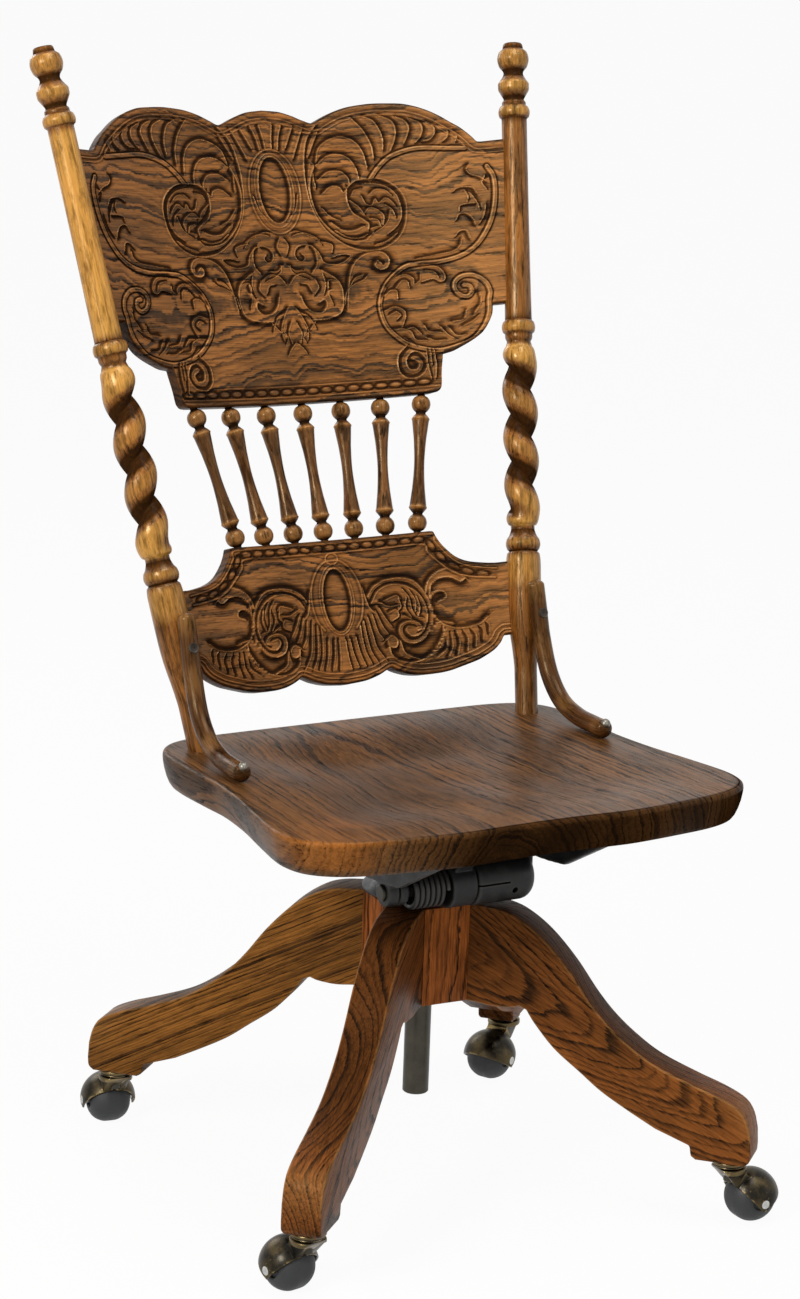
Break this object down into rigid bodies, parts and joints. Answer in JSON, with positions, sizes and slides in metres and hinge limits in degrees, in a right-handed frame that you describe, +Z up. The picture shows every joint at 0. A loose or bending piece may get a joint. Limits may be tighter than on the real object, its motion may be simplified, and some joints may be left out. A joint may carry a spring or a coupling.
{
  "type": "bankers swivel chair",
  "caption": "Carved oak bankers swivel chair with barley-twist posts, saddle seat, spring tilt iron, height screw and a four-legged base on hooded ball casters.",
  "frame": {"origin": "on the floor, under the middle of the chair's box", "axes": "+Z up from the floor, -Y the way the sitter faces, +X to the right for someone who looks at the chair from its front with +Z up and -Y towards them"},
  "size_m": [0.5538, 0.648, 1.0744],
  "materials": {
    "gold_oak": "rubbed golden oak varnish",
    "dark_oak": "dark stained oak, waxed",
    "seat_oak": "dark oak, polished by use",
    "base_oak": "oak with strong cathedral grain, satin varnish",
    "black_iron": "worn black paint on castings",
    "steel": "dark, lightly oiled",
    "bronze": "dark antique bronze with rubbed highlights",
    "rivet": "bright rivet ends",
    "tread": "worn black tread"
  },
  "bodies": {
    "base": {"leg_1": "base_oak", "leg_2": "base_oak", "leg_3": "base_oak", "leg_4": "base_oak", "hub_block_1": "base_oak", "hub_block_2": "base_oak", "hub_block_3": "base_oak", "hub_block_4": "base_oak", "caster_socket_1": "bronze", "caster_socket_2": "bronze", "caster_socket_3": "bronze", "caster_socket_4": "bronze", "hub_plate": "black_iron", "guide_tube": "steel"},
    "nut": {"height_nut": "black_iron"},
    "spindle": {"spindle_screw": "steel"},
    "head": {"spindle_head": "black_iron", "tilt_spring": "black_iron"},
    "seat": {"seat_board": "seat_oak", "left_back_post": "gold_oak", "right_back_post": "gold_oak", "crest_panel": "dark_oak", "lower_panel": "dark_oak", "baluster_1": "gold_oak", "baluster_2": "gold_oak", "baluster_3": "gold_oak", "baluster_4": "gold_oak", "baluster_5": "gold_oak", "baluster_6": "gold_oak", "baluster_7": "gold_oak", "left_hip_brace": "gold_oak", "right_hip_brace": "gold_oak", "left_seat_rail": "black_iron", "right_seat_rail": "black_iron", "tilt_stop_bar": "black_iron", "cross_shaft": "steel"},
    "caster_1": {"caster_stem_1": "steel", "caster_hood_1": "bronze", "caster_axle_1": "rivet"},
    "wheel_1": {"caster_wheel_1": "tread"},
    "caster_2": {"caster_stem_2": "steel", "caster_hood_2": "bronze", "caster_axle_2": "rivet"},
    "wheel_2": {"caster_wheel_2": "tread"},
    "caster_3": {"caster_stem_3": "steel", "caster_hood_3": "bronze", "caster_axle_3": "rivet"},
    "wheel_3": {"caster_wheel_3": "tread"},
    "caster_4": {"caster_stem_4": "steel", "caster_hood_4": "bronze", "caster_axle_4": "rivet"},
    "wheel_4": {"caster_wheel_4": "tread"}
  },
  "joints": [
    {"name": "seat_height", "type": "slide", "parent": "base", "child": "spindle", "axis": [0, 0, 1], "range_m": [0, 0.06]},
    {"name": "height_nut_turn", "type": "hinge", "parent": "base", "child": "nut", "pos_m": [0, -0.06177, 0.3001], "axis": [0, 0, 1], "range_deg": [0, 3600.1]},
    {"name": "seat_swivel", "type": "hinge", "parent": "spindle", "child": "head", "pos_m": [0, -0.06177, 0.325], "axis": [0, 0, 1], "continuous": true},
    {"name": "seat_tilt", "type": "hinge", "parent": "head", "child": "seat", "pos_m": [0, -0.12177, 0.3175], "axis": [-1, 0, 0], "range_deg": [0, 12], "stiffness_Nm_per_rad": 150, "springref_deg": -11.46},
    {"name": "caster_swivel_1", "type": "hinge", "parent": "base", "child": "caster_1", "pos_m": [0.21159, -0.29513, 0.07], "axis": [0, 0, 1], "continuous": true},
    {"name": "wheel_roll_1", "type": "hinge", "parent": "caster_1", "child": "wheel_1", "pos_m": [0.23759, -0.29558, 0.02393], "axis": [0.0175, 0.9998, 0], "continuous": true},
    {"name": "caster_swivel_2", "type": "hinge", "parent": "base", "child": "caster_2", "pos_m": [0.23335, 0.14982, 0.07], "axis": [0, 0, 1], "continuous": true},
    {"name": "wheel_roll_2", "type": "hinge", "parent": "caster_2", "child": "wheel_2", "pos_m": [0.21019, 0.13801, 0.02393], "axis": [0.454, -0.891, 0], "continuous": true},
    {"name": "caster_swivel_3", "type": "hinge", "parent": "base", "child": "caster_3", "pos_m": [-0.21159, 0.17158, 0.07], "axis": [0, 0, 1], "continuous": true},
    {"name": "wheel_roll_3", "type": "hinge", "parent": "caster_3", "child": "wheel_3", "pos_m": [-0.20752, 0.19726, 0.02393], "axis": [-0.9877, 0.1564, 0], "continuous": true},
    {"name": "caster_swivel_4", "type": "hinge", "parent": "base", "child": "caster_4", "pos_m": [-0.23335, -0.27337, 0.07], "axis": [0, 0, 1], "continuous": true},
    {"name": "wheel_roll_4", "type": "hinge", "parent": "caster_4", "child": "wheel_4", "pos_m": [-0.23831, -0.24784, 0.02393], "axis": [-0.9816, -0.1908, 0], "continuous": true}
  ],
  "couplings": [
    {"joint": "height_nut_turn", "follows": "seat_height", "rad_per_m": 1047.2}
  ]
}
